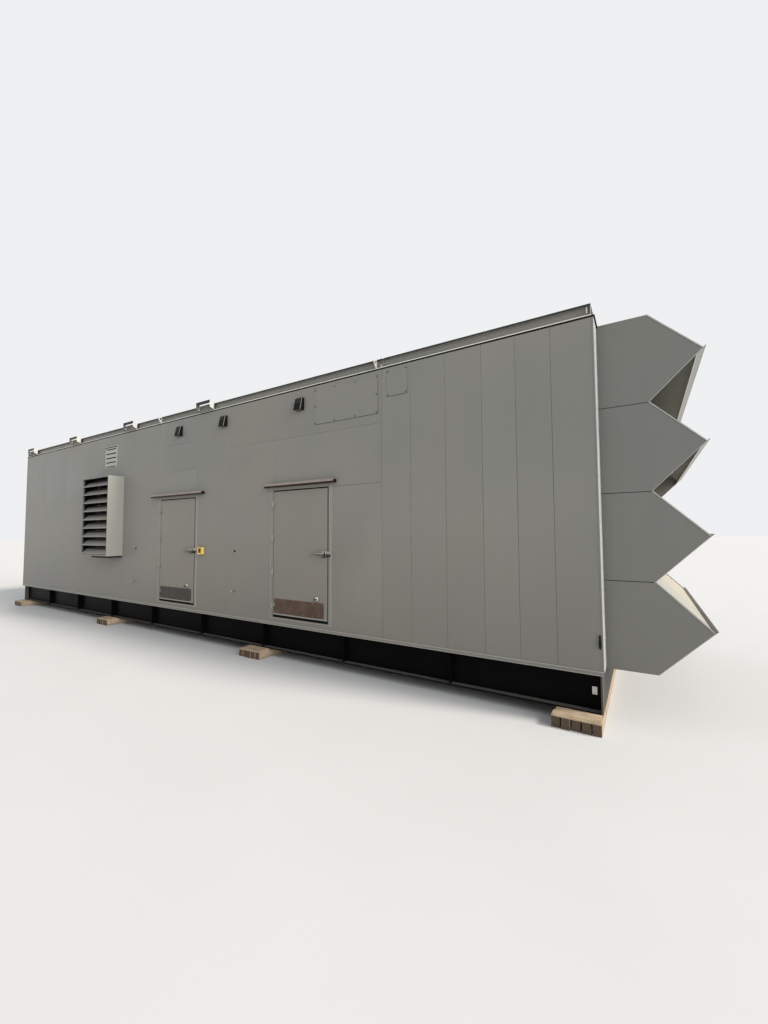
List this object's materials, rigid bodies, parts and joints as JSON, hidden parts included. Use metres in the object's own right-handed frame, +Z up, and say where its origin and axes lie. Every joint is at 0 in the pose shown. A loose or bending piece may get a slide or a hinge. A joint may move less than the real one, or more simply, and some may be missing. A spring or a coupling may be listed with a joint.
{
  "type": "diesel generator set in a walk-in enclosure",
  "caption": "Long weatherproof walk-in generator enclosure on a steel skid and timber cribs, with hinged doors, a louvre and stacked intake hoods on one end.",
  "frame": {"origin": "on the ground under the middle of the whole outline", "axes": "+X along the enclosure towards the intake hoods, -Y is the side with the doors, +Z up"},
  "size_m": [17.2688, 5.435, 4.836],
  "materials": {
    "grey_paint": "semi-gloss warm grey enclosure paint with soft sheet waviness",
    "black_paint": "semi-gloss black skid paint with dust",
    "timber": "rough sawn weathered timber",
    "floor_plate": "grey painted plate",
    "bare_aluminium": "satin bare aluminium",
    "stainless": "satin stainless steel",
    "stainless_trim": "brushed stainless sheet",
    "yellow_lock": "yellow enamel",
    "dark_bronze": "dark bronze powder coat"
  },
  "bodies": {
    "enclosure": {"access_covers": "grey_paint", "crib_packing": "timber", "crib_timbers": "timber", "door_frame_left": "grey_paint", "door_frame_right": "grey_paint", "drip_caps": "stainless_trim", "edge_trims": "grey_paint", "end_post_front": "grey_paint", "end_post_rear": "grey_paint", "end_transoms": "grey_paint", "end_wall_left": "grey_paint", "floor": "floor_plate", "front_wall_between_doors": "grey_paint", "front_wall_by_louvre": "grey_paint", "front_wall_door_sills": "grey_paint", "front_wall_left": "grey_paint", "front_wall_louvre_bay": "grey_paint", "front_wall_over_doors": "grey_paint", "front_wall_right": "grey_paint", "hood_lips": "grey_paint", "hood_sides_front": "grey_paint", "hood_sides_rear": "grey_paint", "hood_tops": "grey_paint", "latch_strikes": "stainless", "lifting_eyes": "grey_paint", "louvre_blades": "grey_paint", "louvre_casing": "grey_paint", "rail_ends": "grey_paint", "rail_front": "grey_paint", "rail_rear": "grey_paint", "rear_wall": "grey_paint", "roof": "grey_paint", "roof_brackets": "grey_paint", "skid_beam_front": "black_paint", "skid_beam_rear": "black_paint", "skid_cross_beams": "black_paint", "skid_end_plates": "black_paint", "small_vent": "bare_aluminium", "strike_lock": "yellow_lock", "wall_holdbacks": "stainless", "wall_lights": "dark_bronze"},
    "door_left": {"door_leaf_left": "grey_paint", "door_hardware_left": "stainless"},
    "lever_left": {"latch_lever_left": "stainless"},
    "door_right": {"door_leaf_right": "grey_paint", "door_hardware_right": "stainless"},
    "lever_right": {"latch_lever_right": "stainless"}
  },
  "joints": [
    {"name": "door_left_hinge", "type": "hinge", "parent": "enclosure", "child": "door_left", "pos_m": [-1.02841, -2.3825, 0.762], "axis": [0, 0, -1], "range_deg": [0, 170]},
    {"name": "lever_left_pivot", "type": "hinge", "parent": "door_left", "child": "lever_left", "pos_m": [0.14259, -2.4175, 1.826], "axis": [0, 0, 1], "range_deg": [0, 20]},
    {"name": "door_right_hinge", "type": "hinge", "parent": "enclosure", "child": "door_right", "pos_m": [2.47659, -2.3825, 0.762], "axis": [0, 0, -1], "range_deg": [0, 170]},
    {"name": "lever_right_pivot", "type": "hinge", "parent": "door_right", "child": "lever_right", "pos_m": [3.64759, -2.4175, 1.826], "axis": [0, 0, 1], "range_deg": [0, 20]}
  ]
}
